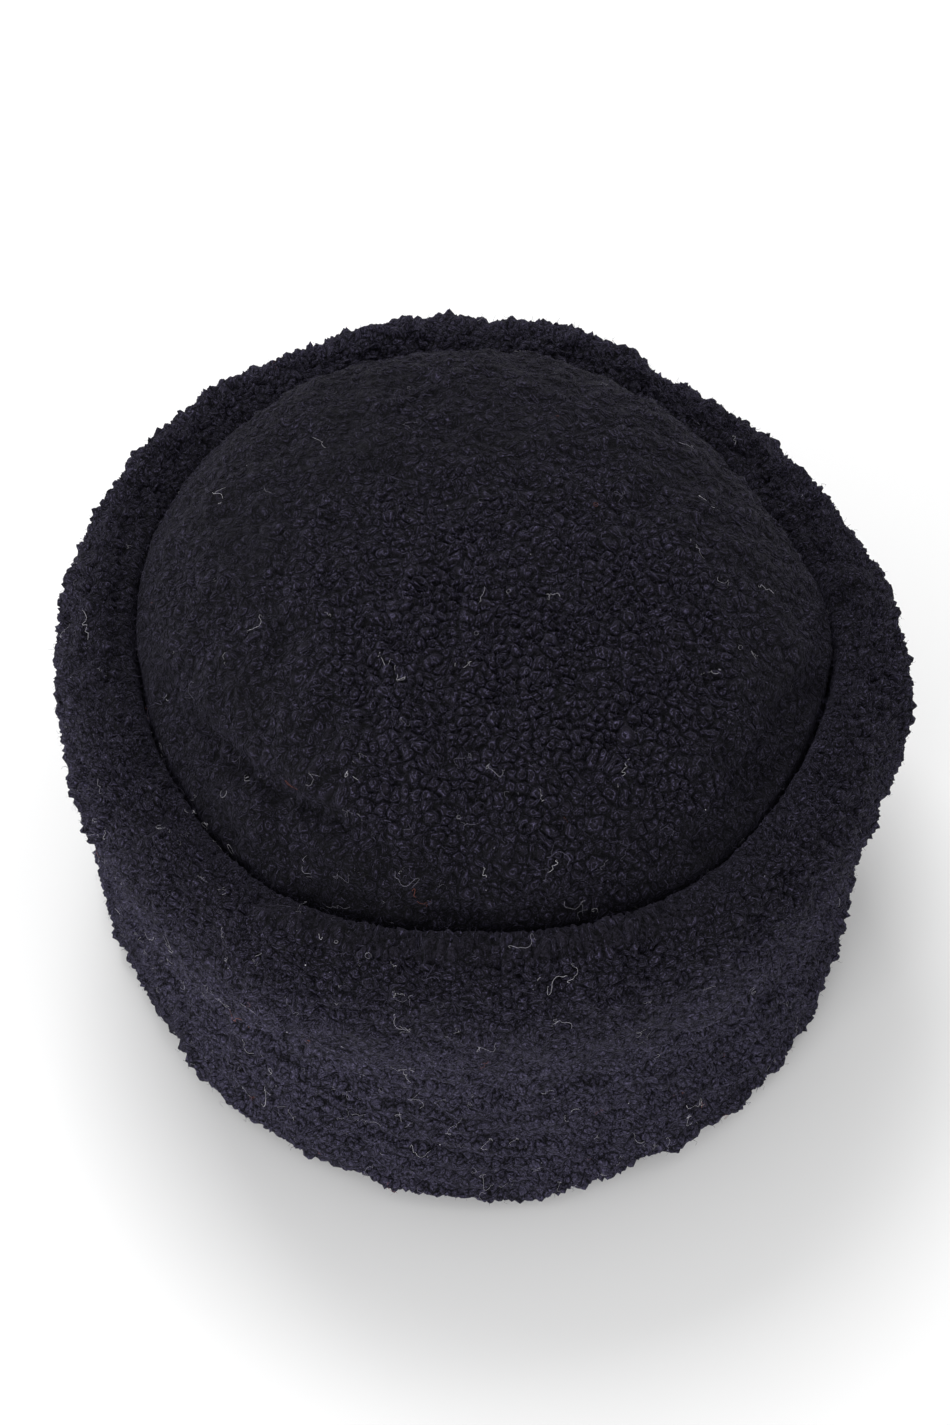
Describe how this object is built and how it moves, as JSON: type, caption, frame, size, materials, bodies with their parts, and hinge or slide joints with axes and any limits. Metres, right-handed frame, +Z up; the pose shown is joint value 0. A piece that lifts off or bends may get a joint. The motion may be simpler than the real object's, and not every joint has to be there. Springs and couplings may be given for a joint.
{
  "type": "caucasian fur hat",
  "caption": "Round brimless sheepskin hat with a domed crown set inside a tall cuff that folds over into a thick rim.",
  "frame": {"origin": "centre of the hat's footprint, on the flat bottom edge that it stands on", "axes": "+Z up through the crown, the wearer faces -Y, +X is the wearer's left"},
  "size_m": [0.222, 0.2308, 0.1391],
  "materials": {
    "cuff_fleece": "sheared sheep's wool, dyed blue-black",
    "crown_fleece": "sheared sheep's wool, dyed blue-black"
  },
  "bodies": {
    "root": {"cuff": "cuff_fleece", "crown": "crown_fleece"}
  },
  "joints": []
}
